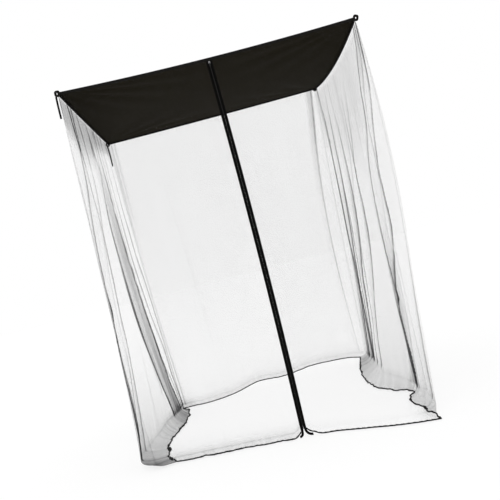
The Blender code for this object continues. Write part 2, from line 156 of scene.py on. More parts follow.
class Socket:
    """An output socket of a material. Sums of sockets add the nodes that work them out."""

    def __init__(self, tree, link):
        self.tree = tree
        self.link = link

    def node(self, kind, settings, sockets, output=0):
        """Adds a node of this kind: its settings first, then values or links for its sockets."""
        made = self.tree.nodes.new("ShaderNode" + kind)
        for name, value in settings.items():
            if name == "stops":
                while len(made.color_ramp.elements) < len(value):
                    made.color_ramp.elements.new(1.0)
                for stop, (position, shade) in zip(made.color_ramp.elements, value):
                    stop.position = position
                    stop.color = (shade, shade, shade, 1.0)
            else:
                setattr(made, name, value)
        for name, value in sockets.items():
            if isinstance(value, Socket):
                self.tree.links.new(value.link, made.inputs[name])
            else:
                made.inputs[name].default_value = value
        return Socket(self.tree, made.outputs[output])

    def math(self, operation, first, second=0.0):
        return self.node("Math", {"operation": operation}, {0: first, 1: second})

    def __add__(self, other):
        return self.math("ADD", self, other)

    def __sub__(self, other):
        return self.math("SUBTRACT", self, other)

    def __mul__(self, other):
        return self.math("MULTIPLY", self, other)

    def __truediv__(self, other):
        return self.math("DIVIDE", self, other)

    def __radd__(self, other):
        return self.math("ADD", other, self)

    def __rsub__(self, other):
        return self.math("SUBTRACT", other, self)

    def __rmul__(self, other):
        return self.math("MULTIPLY", other, self)

    def __rtruediv__(self, other):
        return self.math("DIVIDE", other, self)

    def __gt__(self, other):
        return self.math("GREATER_THAN", self, other)

    def __lt__(self, other):
        return self.math("LESS_THAN", self, other)

    def __abs__(self):
        return self.math("ABSOLUTE", self)

    def least(self, other):
        return self.math("MINIMUM", self, other)

    def most(self, other):
        return self.math("MAXIMUM", self, other)

    def share(self):
        """The part after the decimal point."""
        return self.math("FRACT", self)

    def wave(self):
        """A sine wave with one crest for each whole number."""
        return self.math("SINE", self * (2 * np.pi))

    def tint(self, first, second):
        """The first colour where this is 0 and the second where it is 1."""
        return self.node(
            "Mix",
            {"data_type": "RGBA"},
            {0: self, 6: (*first, 1.0), 7: (*second, 1.0)},
            output=2,
        )

    def axis(self, which):
        """One part of a vector."""
        return self.node("SeparateXYZ", {}, {0: self}, output=which)

    def stretched(self, x, y, z):
        """A vector with each part made this many times longer."""
        return self.node(
            "VectorMath", {"operation": "MULTIPLY"}, {0: self, 1: (x, y, z)}
        )

    def ramp(self, *stops):
        """Grey shades between these stops, each a position and a shade."""
        return self.node("ValToRGB", {"stops": stops}, {"Fac": self})

    def cloud(self, scale, detail=2.0, roughness=0.5):
        """Soft noise about 0.5 over this vector."""
        return self.node(
            "TexNoise", {}, {"Vector": self, "Scale": scale, "Detail": detail, "Roughness": roughness}
        )

    def relief(self, distance, strength=1.0):
        """A surface normal raised by this height."""
        return self.node(
            "Bump", {}, {"Height": self, "Distance": distance, "Strength": strength}
        )


def new_finish(name, roughness, gloss=0.5, metallic=0.0):
    """A new material, its shader, its cloth lengths in metres, and its place in space."""
    material = bpy.data.materials.new(name)
    material.use_nodes = True
    tree = material.node_tree
    shader = tree.nodes["Principled BSDF"]
    shader.inputs["Roughness"].default_value = roughness
    shader.inputs["Metallic"].default_value = metallic
    shader.inputs["Specular IOR Level"].default_value = gloss
    lengths = Socket(tree, None).node("UVMap", {"uv_map": "lengths"}, {})
    place = Socket(tree, tree.nodes.new("ShaderNodeTexCoord").outputs["Object"])
    return material, shader, lengths, place


def feed(shader, **values):
    """Links sockets into a shader."""
    for name, value in values.items():
        value.tree.links.new(value.link, shader.inputs[name.replace("_", " ")])


def woven(lengths, thread):
    """The height of a plain weave of threads this wide, from 0 to 1."""
    across = lengths.axis(0) / thread
    along = lengths.axis(1) / thread
    return (across.wave() * along.wave()) * 0.5 + 0.5


ROOF_STEPS = 72
roof_shares = np.linspace(0.0008, 0.9992, ROOF_STEPS + 1)
roof_panel = cloth_mesh(
    "roof_cloth_panel",
    [[roof_point(across, back) for back in roof_shares] for across in roof_shares],
    lambda i, j: (roof_shares[i] * 2 * ROOF_HALF, roof_shares[j] * 2 * ROOF_HALF),
)
roof_finish, shader, lengths, place = new_finish("dense_roof_cloth", 0.92, gloss=0.02)
weave = woven(lengths, ROOF_THREAD)
patches = place.cloud(3.2, 3.0, 0.6)
slubs = lengths.stretched(1, 18, 1).cloud(40.0, 2.0)
wear = (patches * 0.7 + slubs * 0.3).ramp((0.42, 0.0), (0.70, 1.0))
feed(
    shader,
    Base_Color=(wear * 0.8 + weave * 0.2).tint(ROOF_CLOTH_COLOUR, ROOF_CLOTH_WORN),
    Roughness=0.92 - weave * 0.12,
    Normal=(weave * 0.7 + slubs * 0.3).relief(0.0004, 0.5),
)
roof_panel.data.materials.append(roof_finish)
thickness = roof_panel.modifiers.new("thickness", "SOLIDIFY")
thickness.thickness = 0.0009
thickness.offset = 0.0
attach(roof_panel, "root")
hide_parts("roof_panel")

# ---------------------------------------------------------------------------------------------
# Roof binding: black woven tape folded over each edge of the roof, 15 mm deep, and stitched
# through in one row near its lower edge. The netting hangs from under it.
BINDING_DEPTH = 0.015
BINDING_THICKNESS = 0.0018
TAPE_COLOUR = (0.0045, 0.0043, 0.0040)
TAPE_WORN = (0.0110, 0.0106, 0.0095)
TAPE_THREAD = 0.0009
STITCH = 0.0034
BINDING_COLUMNS = 120
TAPE_SHARES = (0.0, 0.12, 0.35, 0.60, 0.80, 0.97)

tape_finish, shader, lengths, place = new_finish("binding_tape", 0.85, gloss=0.08)
weave = woven(lengths, TAPE_THREAD)
down = lengths.axis(1)
on_row = abs(down - 0.0118) < 0.0005
on_stitch = (lengths.axis(0) / STITCH).share() < 0.72
stitches = on_row * on_stitch
fading = place.cloud(9.0, 2.0)
feed(
    shader,
    Base_Color=(weave * 0.35 + fading * 0.5 + stitches * 0.4).tint(TAPE_COLOUR, TAPE_WORN),
    Roughness=0.90 - weave * 0.15 - stitches * 0.2,
    Normal=(weave * 0.4 + stitches).relief(0.0005, 0.6),
)


def folded_tape(columns, depth, thickness):
    """The ring of points round a tape folded over an edge: down the front and up the back."""
    half = thickness / 2
    outline = [(-half, depth * share) for share in TAPE_SHARES]
    outline += [(-half * 0.4, depth), (half * 0.4, depth)]
    outline += [(half, depth * share) for share in TAPE_SHARES[::-1]]
    return [
        [point + outward * off - Vector((0, 0, low)) for point, outward in columns]
        for off, low in outline
    ]


OUTWARD = {
    "front": Vector((0, -1, 0)),
    "back": Vector((0, 1, 0)),
    "left": Vector((-1, 0, 0)),
    "right": Vector((1, 0, 0)),
}
for side in ROOF_EDGES:
    trim = 0.0006 if side in ("left", "right") else 0.0
    shares = np.linspace(trim, 1 - trim, BINDING_COLUMNS + 1)
    pucker = np.sin(shares * 61 + len(side)) * 0.5 + np.sin(shares * 149) * 0.5
    columns = [
        (on_edge(side, share, -0.0003), OUTWARD[side] * (1 + 0.12 * float(rise)))
        for share, rise in zip(shares, pucker)
    ]
    ring = folded_tape(columns, BINDING_DEPTH, BINDING_THICKNESS)
    lows = [BINDING_DEPTH * share for share in (*TAPE_SHARES, 1.0)]
    lows += lows[::-1]
    strip = cloth_mesh(
        f"roof_tape_{side}", ring, lambda i, j: (shares[j] * 2 * ROOF_HALF, lows[i])
    )
    strip.data.materials.append(tape_finish)
    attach(strip, "root")
    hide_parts(f"roof_binding_{side}")

# ---------------------------------------------------------------------------------------------
# Netting walls: fine black knitted net, gathered along the sides of the roof and nearly flat in
# front and behind. It hangs past the waist to its foot, turns along the floor and runs to the
# hem. A fold line runs down the netting from the roof: top is its share of the way along the
# roof edge, the waist is at half height, and lift is how far the hem hangs over the floor.
FLOOR = -2.05
FLOOR_CLEAR = 0.0002
FOOT = 0.035
HEM_RADIUS = 0.0045
NET_COLOUR = (0.0130, 0.0130, 0.0140)
NET_HOLE = 0.0017
NET_COVER = 0.086  # share of the net that its threads take up
SEAM_ALLOWANCE = 0.009
SEAM_COVER = {"left": 0.12, "right": 0.06, "back": 0.16, "front_left": 0.04, "front_right": 0.02}

Fold = namedtuple("Fold", "top waist_x waist_y foot_x foot_y hem_x hem_y lift")
ZIP_HALF = 0.0161
ZIP_WAIST = 0.012
ZIP_LIFTS = {"left": 0.026, "right": 0.041}
SEAMS = {
    "front_left": (-0.809, -0.800, -0.800, -0.690, -0.698, -0.622, 0.0),
    "front_right": (0.790, -0.820, 0.585, -1.045, 0.638, -1.115, 0.0),
    "back_left": (-0.777, 0.800, -0.745, 0.800, -0.747, 0.790, 0.0),
    "back_right": (0.730, 0.800, 0.680, 0.800, 0.625, 0.800, 0.030),
    "zip_left": (ZIP_WAIST - ZIP_HALF, -0.80, -ZIP_HALF, -0.80, -ZIP_HALF, -0.80, ZIP_LIFTS["left"]),
    "zip_right": (ZIP_WAIST + ZIP_HALF, -0.80, ZIP_HALF, -0.80, ZIP_HALF, -0.80, ZIP_LIFTS["right"]),
}
LEFT_FOLDS = (
    Fold(0.03, -0.834, -0.680, -0.885, -0.600, -0.735, -0.545, 0.0),
    Fold(0.08, -0.797, -0.580, -0.905, -0.500, -0.750, -0.470, 0.0),
    Fold(0.14, -0.820, -0.440, -0.912, -0.380, -0.762, -0.360, 0.0),
    Fold(0.22, -0.796, -0.320, -0.885, -0.180, -0.775, -0.210, 0.0),
    Fold(0.31, -0.794, -0.170, -0.850, 0.080, -0.762, -0.060, 0.0),
    Fold(0.41, -0.786, 0.160, -0.822, 0.340, -0.735, 0.100, 0.0),
    Fold(0.47, -0.826, 0.050, -0.800, 0.440, -0.715, 0.200, 0.0),
    Fold(0.53, -0.806, 0.300, -0.783, 0.520, -0.702, 0.290, 0.0),
    Fold(0.63, -0.797, 0.390, -0.768, 0.590, -0.692, 0.380, 0.0),
    Fold(0.73, -0.813, 0.480, -0.757, 0.650, -0.686, 0.480, 0.0),
    Fold(0.84, -0.780, 0.610, -0.750, 0.700, -0.687, 0.570, 0.0),
    Fold(0.92, -0.797, 0.710, -0.745, 0.750, -0.700, 0.680, 0.0),
)
RIGHT_FOLDS = (
    Fold(0.05, 0.786, -0.740, 0.668, -0.960, 0.634, -1.005, 0.0),
    Fold(0.11, 0.744, -0.670, 0.700, -0.720, 0.625, -0.800, 0.0),
    Fold(0.18, 0.762, -0.560, 0.722, -0.610, 0.613, -0.700, 0.0),
    Fold(0.26, 0.727, -0.460, 0.690, -0.530, 0.628, -0.580, 0.0),
    Fold(0.35, 0.762, -0.300, 0.715, -0.420, 0.680, -0.481, 0.0),
    Fold(0.43, 0.722, -0.140, 0.680, -0.150, 0.612, -0.360, 0.0),
    Fold(0.52, 0.750, 0.000, 0.645, 0.140, 0.545, -0.190, 0.0),
    Fold(0.60, 0.716, 0.110, 0.672, 0.280, 0.522, -0.050, 0.0),
    Fold(0.68, 0.743, 0.240, 0.660, 0.360, 0.518, 0.080, 0.0),
    Fold(0.76, 0.719, 0.340, 0.690, 0.470, 0.528, 0.250, 0.0),
    Fold(0.83, 0.741, 0.460, 0.672, 0.540, 0.546, 0.400, 0.0),
    Fold(0.89, 0.724, 0.550, 0.698, 0.640, 0.566, 0.530, 0.0),
    Fold(0.95, 0.752, 0.700, 0.686, 0.730, 0.598, 0.680, 0.0),
)
BACK_FOLDS = (
    Fold(0.08, -0.670, 0.794, -0.665, 0.787, -0.655, 0.783, 0.0),
    Fold(0.17, -0.535, 0.803, -0.545, 0.772, -0.545, 0.765, 0.0),
    Fold(0.28, -0.370, 0.798, -0.360, 0.785, -0.353, 0.790, 0.010),
    Fold(0.41, -0.170, 0.804, -0.160, 0.800, -0.155, 0.800, 0.050),
    Fold(0.53, 0.035, 0.797, 0.040, 0.804, 0.044, 0.804, 0.040),
    Fold(0.67, 0.260, 0.804, 0.265, 0.800, 0.268, 0.800, 0.063),
    Fold(0.83, 0.500, 0.797, 0.510, 0.803, 0.518, 0.803, 0.050),
)
FRONT_LEFT_FOLDS = (
    Fold(0.09, -0.735, -0.812, -0.700, -0.650, -0.640, -0.645, 0.0),
    Fold(0.21, -0.635, -0.793, -0.600, -0.668, -0.560, -0.663, 0.0),
    Fold(0.38, -0.480, -0.806, -0.450, -0.698, -0.440, -0.692, 0.0),
    Fold(0.60, -0.305, -0.796, -0.290, -0.732, -0.285, -0.727, 0.0),
    Fold(0.80, -0.145, -0.803, -0.150, -0.772, -0.150, -0.770, 0.0),
    Fold(0.89, -0.075, -0.801, -0.088, -0.791, -0.088, -0.790, 0.001),
    Fold(0.94, -0.036, -0.800, -0.050, -0.800, -0.050, -0.800, 0.002),
    Fold(0.98, -0.017, -0.800, -0.030, -0.800, -0.030, -0.800, 0.015),
)
FRONT_RIGHT_FOLDS = (
    Fold(0.02, 0.041, -0.800, 0.030, -0.800, 0.030, -0.800, 0.024),
    Fold(0.06, 0.060, -0.800, 0.050, -0.800, 0.050, -0.800, 0.014),
    Fold(0.11, 0.097, -0.800, 0.088, -0.816, 0.088, -0.822, 0.001),
    Fold(0.24, 0.200, -0.804, 0.175, -0.850, 0.172, -0.858, 0.0),
    Fold(0.42, 0.345, -0.797, 0.305, -0.930, 0.300, -0.942, 0.0),
    Fold(0.62, 0.500, -0.812, 0.425, -1.005, 0.420, -1.020, 0.0),
    Fold(0.80, 0.640, -0.803, 0.505, -1.030, 0.520, -1.074, 0.0),
    Fold(0.91, 0.718, -0.826, 0.545, -1.045, 0.580, -1.097, 0.0),
)

# The net is finer to the eye where it hangs clear: how much of the view it covers at the roof,
# each quarter of the way down and the foot of each wall. These covers are partly painted light
# and shade: where the net shows lighter, as at the foot of the front walls, it is given less
# cover, and where it shows darker, more.
NET_COVERS_AND_PAINTED_LIGHT = {
    "left": (0.055, 0.030, 0.024, 0.040, 0.080),
    "right": (0.100, 0.090, 0.090, 0.130, 0.130),
    "back": (0.085, 0.085, 0.085, 0.090, 0.075),
    "front_left": (0.078, 0.090, 0.070, 0.036, 0.004),
    "front_right": (0.075, 0.085, 0.090, 0.064, 0.006),
}
# A pleat is a narrow pinch of netting that stands out along the cloth, with a flap of doubled
# net beside it. At is where it lies, counted in fold lines from the start of the wall, at the
# roof, each quarter of the way down and the foot. Side is the way its flap lies and wide how
# far. Deep, dark and flap are how far it stands out, and how closely its threads and those of
# its flap lie, at the top, the waist and the foot.
Pleat = namedtuple("Pleat", "at side wide deep dark flap")
# Over the floor only a share of each pleat is left.
PINCH = 0.0075
PLEAT_LYING = 0.2
PLEATS = {
    "left": (
        Pleat((2.8, 1.4, 0.8, 0.9, 1.9), 1, 0.06,
              (0.006, 0.010, 0.010), (0.80, 0.72, 0.85), (0.10, 0.05, 0.30)),
        Pleat((0.3, 0.5, 0.7, 1.2, 2.1), -1, 0.04,
              (0.002, 0.006, 0.008), (0.15, 0.40, 0.50), (0.02, 0.10, 0.20)),
        Pleat((3.6, 2.4, 1.5, 1.8, 2.2), -1, 0.06,
              (0.005, 0.006, 0.004), (0.55, 0.30, 0.20), (0.10, 0.04, 0.06)),
        Pleat((4.7, 3.6, 2.7, 3.2, 3.4), -1, 0.03,
              (0.004, 0.008, 0.008), (0.30, 0.62, 0.55), (0.03, 0.03, 0.08)),
        Pleat((6.4, 5.2, 4.6, 4.8, 5.0), -1, 0.02,
              (0.003, 0.003, 0.003), (0.25, 0.06, 0.20), (0.04, 0.00, 0.04)),
        Pleat((8.4, 7.2, 7.0, 6.95, 7.6), 1, 0.32,
              (0.004, 0.010, 0.012), (0.30, 0.80, 0.80), (0.02, 0.22, 0.42)),
        Pleat((8.8, 8.0, 8.1, 8.5, 10.6), -1, 0.16,
              (0.004, 0.012, 0.012), (0.35, 0.88, 0.88), (0.02, 0.22, 0.42)),
        Pleat((10.2, 10.4, 10.3, 10.7, 12.6), -1, 0.03,
              (0.003, 0.008, 0.008), (0.25, 0.65, 0.55), (0.02, 0.02, 0.16)),
        Pleat((11.4, 11.7, 12.5, 12.8, 12.9), -1, 0.03,
              (0.003, 0.008, 0.006), (0.28, 0.70, 0.40), (0.02, 0.02, 0.10)),
        Pleat((9.5, 9.3, 9.2, 9.4, 11.5), -1, 0.03,
              (0.003, 0.004, 0.006), (0.25, 0.20, 0.40), (0.02, 0.02, 0.12)),
    ),
    "right": (
        Pleat((0.3, 1.5, 2.9, 3.8, 5.2), 1, 0.07,
              (0.008, 0.012, 0.012), (0.85, 0.78, 0.92), (0.08, 0.03, 0.34)),
        Pleat((0.9, 3.4, 4.1, 3.7, 4.4), -1, 0.05,
              (0.006, 0.010, 0.010), (0.60, 0.60, 0.70), (0.06, 0.03, 0.30)),
        Pleat((0.6, 2.3, 3.5, 3.2, 3.8), 1, 0.04,
              (0.005, 0.005, 0.006), (0.45, 0.22, 0.25), (0.04, 0.04, 0.12)),
        Pleat((0.2, 0.3, 0.7, 1.3, 1.6), 1, 0.03,
              (0.003, 0.003, 0.006), (0.30, 0.26, 0.70), (0.02, 0.00, 0.05)),
        Pleat((5.2, 5.7, 6.8, 7.2, 8.2), 1, 0.06,
              (0.001, 0.010, 0.007), (0.10, 0.72, 0.45), (0.00, 0.08, 0.08)),
        Pleat((7.4, 7.2, 7.9, 8.4, 9.4), 1, 0.03,
              (0.001, 0.004, 0.004), (0.10, 0.30, 0.20), (0.00, 0.04, 0.05)),
        Pleat((9.3, 9.0, 9.0, 9.8, 11.0), 1, 0.05,
              (0.001, 0.012, 0.010), (0.12, 0.85, 0.80), (0.00, 0.10, 0.20)),
        Pleat((9.9, 9.9, 10.2, 10.9, 11.8), 1, 0.03,
              (0.001, 0.006, 0.006), (0.12, 0.45, 0.40), (0.00, 0.06, 0.12)),
        Pleat((10.2, 10.9, 11.3, 12.0, 12.5), 1, 0.06,
              (0.002, 0.012, 0.012), (0.15, 0.82, 0.90), (0.00, 0.12, 0.30)),
        Pleat((13.6, 12.0, 12.0, 12.8, 13.2), 1, 0.05,
              (0.006, 0.010, 0.010), (0.75, 0.72, 0.80), (0.04, 0.10, 0.30)),
        Pleat((13.8, 12.8, 12.7, 13.2, 13.5), 1, 0.03,
              (0.004, 0.006, 0.006), (0.40, 0.40, 0.40), (0.02, 0.06, 0.20)),
    ),
    "back": (
        Pleat((0.15, 0.1, 0.1, 0.1, 0.3), 1, 0.03,
              (0.003, 0.002, 0.004), (0.25, 0.08, 0.40), (0.08, 0.00, 0.06)),
        Pleat((0.35, 0.3, 0.25, 0.2, 0.2), 1, 0.02,
              (0.003, 0.001, 0.002), (0.16, 0.05, 0.06), (0.03, 0.00, 0.02)),
        Pleat((2.2, 2.4, 2.6, 2.7, 2.8), 1, 0.05,
              (0.000, 0.002, 0.001), (0.06, 0.09, 0.06), (0.00, 0.015, 0.00)),
        Pleat((5.0, 5.4, 5.6, 5.7, 5.8), 1, 0.04,
              (0.000, 0.002, 0.001), (0.05, 0.07, 0.05), (0.00, 0.01, 0.00)),
        Pleat((6.0, 6.2, 6.4, 6.5, 6.6), 1, 0.04,
              (0.000, 0.002, 0.001), (0.05, 0.06, 0.05), (0.00, 0.00, 0.00)),
        Pleat((7.9, 7.7, 7.6, 7.6, 7.7), -1, 0.04,
              (0.005, 0.003, 0.002), (0.60, 0.40, 0.20), (0.22, 0.04, 0.02)),
    ),
    "front_left": (),
    "front_right": (
        Pleat((7.4, 7.4, 7.4, 7.4, 7.4), -1, 0.03,
              (0.001, 0.001, 0.003), (0.05, 0.10, 0.10), (0.00, 0.00, 0.03)),
    ),
}
# Where the net is gathered to the roof it lies closer, down to a share of its height that
# differs along the wall. It thickens again towards the foot, as haze, and bunches at the hem.
# Clear is the height of the bare strip under the roof, and thin how much of its cover is left.
Gather = namedtuple("Gather", "places reach top clear haze foot thin")
GATHERS = {
    "left": Gather(
        (0.00, 0.12, 0.30, 0.60, 0.85, 1.00),
        (0.05, 0.13, 0.14, 0.10, 0.06, 0.05),
        0.46,
        0.000,
        (0.16, 0.18, 0.16, 0.12, 0.10, 0.10),
        (0.30, 0.12, 0.10, 0.19, 0.32, 0.40),
        (0.60, 0.70, 1.00, 1.00, 1.00, 1.00),
    ),
    "right": Gather(
        (0.00, 0.10, 0.25, 0.60, 0.85, 1.00),
        (0.06, 0.18, 0.32, 0.28, 0.24, 0.20),
        0.15,
        0.010,
        (0.03, 0.08, 0.08, 0.05, 0.08, 0.12),
        (0.10, 0.08, 0.10, 0.06, 0.14, 0.24),
        (0.30, 0.55, 1.00, 1.00, 1.00, 1.00),
    ),
    "back": Gather(
        (0.0, 0.1, 1.0),
        (0.04, 0.02, 0.03),
        0.02,
        0.000,
        (0.03, 0.00, 0.01),
        (0.30, 0.10, 0.08),
        (1.00, 1.00, 1.00),
    ),
    "front_left": Gather(
        (0.0, 0.08, 1.0),
        (0.03, 0.02, 0.02),
        0.01,
        0.000,
        (0.04, 0.02, 0.00),
        (0.40, 0.20, 0.16),
        (1.00, 1.00, 1.00),
    ),
    "front_right": Gather(
        (0.0, 0.85, 1.0),
        (0.02, 0.02, 0.04),
        0.01,
        0.000,
        (0.00, 0.01, 0.04),
        (0.04, 0.02, 0.10),
        (1.00, 1.00, 1.00),
    ),
}
# How far each hem wanders from its line, in ruffles.
RAGGED = {"left": 0.010, "right": 0.009, "back": 0.008, "front_left": 0.012, "front_right": 0.003}
HANG_LEVELS = 80
LYING_LEVELS = 12
COLUMN_WIDTH = 0.0055
RIPPLE = 0.0006
RIPPLES = 14


def fold_at(rows, where):
    """The fold line at this place among the rows, on a smooth curve through them."""
    i = min(int(where), len(rows) - 2)
    t = where - i
    before = rows[i - 1] if i > 0 else 2 * rows[0] - rows[1]
    after = rows[i + 2] if i + 2 < len(rows) else 2 * rows[-1] - rows[-2]
    start, end = rows[i], rows[i + 1]
    return (
        (2 * t**3 - 3 * t**2 + 1) * start
        + (t**3 - 2 * t**2 + t) * (end - before) / 2
        + (3 * t**2 - 2 * t**3) * end
        + (t**3 - t**2) * (after - start) / 2
    )


def hanging(side, fold):
    """The points down the hanging part of one fold line, and the point of the hem below it."""
    top, waist_x, waist_y, foot_x, foot_y, hem_x, hem_y, lift = (float(v) for v in fold)
    start = on_edge(side, top, BINDING_DEPTH - 0.004)
    hem = Vector((hem_x, hem_y, FLOOR + FLOOR_CLEAR + HEM_RADIUS + lift))
    foot = Vector((foot_x, foot_y, hem.z + FOOT))
    waist = Vector((waist_x, waist_y, (start.z + foot.z) / 2))
    points = []
    for step in range(HANG_LEVELS + 1):
        t = step / HANG_LEVELS
        points.append(
            start * (1 - t) * (1 - 2 * t) + waist * 4 * t * (1 - t) + foot * t * (2 * t - 1)
        )
    return points, hem


def lying(foot, hem, along):
    """The points from the foot to the middle of the hem binding, which runs along this way."""
    back = foot - hem
    back -= along * back.dot(along)
    edge = hem + back.normalized() * (HEM_RADIUS * 0.6)
    bend = Vector((foot.x, foot.y, edge.z))
    points = []
    for step in range(1, LYING_LEVELS + 1):
        t = step / LYING_LEVELS
        points.append(foot * (1 - t) ** 2 + bend * 2 * t * (1 - t) + edge * t**2)
    return points


def kinks(run, pitch, seed):
    """Uneven kinks about this far apart along a run of cloth: most are slight, a few sharp."""
    knots = np.arange(0, run[-1] + 2 * pitch, pitch)
    rise = np.random.default_rng(seed).uniform(-1, 1, len(knots))
    return np.interp(run, knots, rise * abs(rise))


def ragged(line, most):
    """A hem line that wanders sideways by up to this much, and lifts, but not at its ends."""
    points = np.array([tuple(point) for point in line])
    run = np.zeros(len(points))
    run[1:] = np.cumsum(np.linalg.norm(points[1:] - points[:-1], axis=1))
    along = np.gradient(points, axis=0)
    along /= np.linalg.norm(along, axis=1)[:, None] + 1e-9
    aside = np.stack([along[:, 1], -along[:, 0], 0 * run], 1)
    kink = kinks(run, 0.024, len(line))
    wander = 0.30 * np.sin(run * 29) + 0.15 * np.sin(run * 61 + 1) + 0.75 * kink
    still = np.clip(np.minimum(run, run[-1] - run) / 0.06, 0, 1)
    points += aside * (most * wander * still)[:, None]
    points[:, 2] += 0.5 * most * still * np.clip(kink, 0, 1)
    return [Vector(point) for point in points]


def eased(values, fall):
    """Values between those for the top, the waist and the foot."""
    top, waist, foot = values
    upper, lower = np.clip(2 * fall, 0, 1), np.clip(2 * fall - 1, 0, 1)
    upper, lower = 3 * upper**2 - 2 * upper**3, 3 * lower**2 - 2 * lower**3
    return top + (waist - top) * upper + (foot - waist) * lower


def traced(values, fall):
    """A line through the values for the top, each quarter and the foot, without a kink."""
    line = np.interp(fall, np.linspace(0, 1, len(values)), values)
    spread = HANG_LEVELS // 8
    padded = np.pad(line, spread, mode="edge")
    return np.convolve(padded, np.ones(2 * spread + 1) / (2 * spread + 1), mode="valid")


def netting(name, side, rows, ends):
    """One netting wall on its fold lines and pleats. Returns it and the line of its hem."""
    rows = np.array(rows, float)
    spans = len(rows) - 1
    waist = rows[:, 1:3]
    widths = np.hypot(*(waist[1:] - waist[:-1]).T)
    counts = [max(3, round(width / COLUMN_WIDTH)) for width in widths]
    places = [i + k / count for i, count in enumerate(counts) for k in range(count)] + [spans]
    lines = [hanging(side, fold_at(rows, where)) for where in places]
    hems = ragged([hem for points, hem in lines], RAGGED[name])
    grid = []
    for i, ((points, _), hem) in enumerate(zip(lines, hems)):
        inside = 0 < i < len(hems) - 1
        along = (hems[i + 1] - hems[i - 1]).normalized() if inside else Vector()
        grid.append(points + lying(points[-1], hem, along))
    levels = len(grid[0])
    base = np.array([[tuple(point) for point in column] for column in grid])
    fall = np.minimum(np.arange(levels) / HANG_LEVELS, 1.0)
    cloth = np.zeros(len(places))
    steps = np.hypot(*(base[1:, levels // 2, :2] - base[:-1, levels // 2, :2]).T)
    cloth[1:] = np.cumsum(steps)
    gather = GATHERS[name]
    thin, reach, haze, bunch = (
        np.interp(cloth / cloth[-1], gather.places, amounts)[:, None]
        for amounts in (gather.thin, gather.reach, gather.haze, gather.foot)
    )
    # The wall's cover down its height, which is partly painted light and shade.
    cover = thin * traced(NET_COVERS_AND_PAINTED_LIGHT[name], fall)
    tangent = np.gradient(base, axis=0)
    flat = np.hypot(tangent[..., 0], tangent[..., 1]) + 1e-9
    normal = np.stack([tangent[..., 1] / flat, -tangent[..., 0] / flat, 0 * flat], -1)
    stand = np.zeros((len(places), levels))
    spent = np.interp(np.arange(levels), (HANG_LEVELS, HANG_LEVELS + 4), (1.0, PLEAT_LYING))
    for pleat in PLEATS[name]:
        middle = np.interp(traced(pleat.at, fall), places, cloth)
        off = cloth[:, None] - middle[None, :]
        ridge = np.clip(1.2 - abs(off) / PINCH, 0, 1)
        line = np.exp(-((off / (0.6 * PINCH)) ** 2))
        beside = np.clip(off * pleat.side / pleat.wide, 0, 1)
        doubled = (beside > 0) * (1 - beside**3)
        stand += ridge * eased(pleat.deep, fall) * spent
        cover += line * np.maximum(eased(pleat.dark, fall) - 0.05, 0) * spent
        cover += doubled * eased(pleat.flap, fall) * spent
    below = np.clip((fall - gather.clear) / 0.008 + 0.3, 0, 1)
    cover += gather.top * below * np.exp(-((fall / reach) ** 5))
    cover += haze * np.clip((fall - 0.62) / 0.36, 0, 1) ** 1.6
    low = np.clip(np.arange(levels) - HANG_LEVELS + 2, 0, 5) / 5
    cover += bunch * low + 0.25 * bunch * np.exp(-(((1 - fall) / 0.05) ** 2))
    cover += bunch * np.exp(-(((np.arange(levels) - HANG_LEVELS - 1) / 1.3) ** 2))
    for end, distance in zip(ends, (cloth, cloth[-1] - cloth)):
        if end == "seam":
            near = np.exp(-((distance / SEAM_ALLOWANCE) ** 2))
            cover += (near * SEAM_COVER[name])[:, None]
    waves = np.random.default_rng(len(name))
    ripple = np.zeros((len(places), levels))
    for _ in range(RIPPLES):
        pitch = waves.uniform(0.03, 0.16)
        lean = waves.uniform(-0.5, 0.5)
        phase = waves.uniform(0, 2 * np.pi)
        ripple += np.sin(2 * np.pi * (cloth[:, None] + lean * fall[None, :] * 0.3) / pitch + phase)
    calm = np.sin(np.pi * fall) ** 0.5
    calm[fall >= 1.0] = 0.0
    inner = np.clip(np.minimum(cloth, cloth[-1] - cloth) / 0.03, 0, 1)
    stand += ripple * RIPPLE * calm[None, :] * inner[:, None]
    base += normal * (stand * inner[:, None])[..., None]
    drop = np.zeros(levels)
    centre = base[len(places) // 2]
    drop[1:] = np.cumsum(np.linalg.norm(centre[1:] - centre[:-1], axis=1))
    piece = cloth_mesh(
        f"net_{name}",
        [[Vector(point) for point in column] for column in base],
        lambda i, j: (cloth[i], -drop[j]),
        cover=np.clip(cover, 0, 0.97),
    )
    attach(piece, "root")
    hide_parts(f"netting_{name}")
    return piece, hems


net_finish, shader, lengths, place = new_finish("fine_black_netting", 0.80, gloss=0.15)
# The cover attribute carries painted light and shade along with the net's real density.
cover = lengths.node("Attribute", {"attribute_name": "cover"}, {}, output=2)
slant = (lengths.axis(0) + lengths.axis(1)) / NET_HOLE
other = (lengths.axis(0) - lengths.axis(1)) / NET_HOLE
thread_share = 1 - (1 - NET_COVER) ** 0.5
thread = ((slant.share() < thread_share) + (other.share() < thread_share)).least(1.0)
streaks = lengths.stretched(1, 0.035, 1).cloud(24.0, 4.0, 0.62)
clouds = lengths.stretched(1, 0.25, 1).cloud(4.0, 2.0)
crushed = ((cover - 0.14) * 6).most(0.0).least(1.0)
uneven = cover * ((clouds - 0.5) * 0.3 + 1 + (streaks - 0.5) * (0.40 + crushed * 0.8))
uneven = uneven.most(0.03)
on_thread = (uneven * (0.25 + 0.75 / NET_COVER)).least(1.0)
between = ((uneven - on_thread * NET_COVER) / (1 - NET_COVER)).most(0.0)
feed(shader, Alpha=(between + (on_thread - between) * thread).least(0.96))
shade = streaks.tint(NET_COLOUR, tuple(2.2 * part for part in NET_COLOUR))
feed(shader, Base_Color=shade)

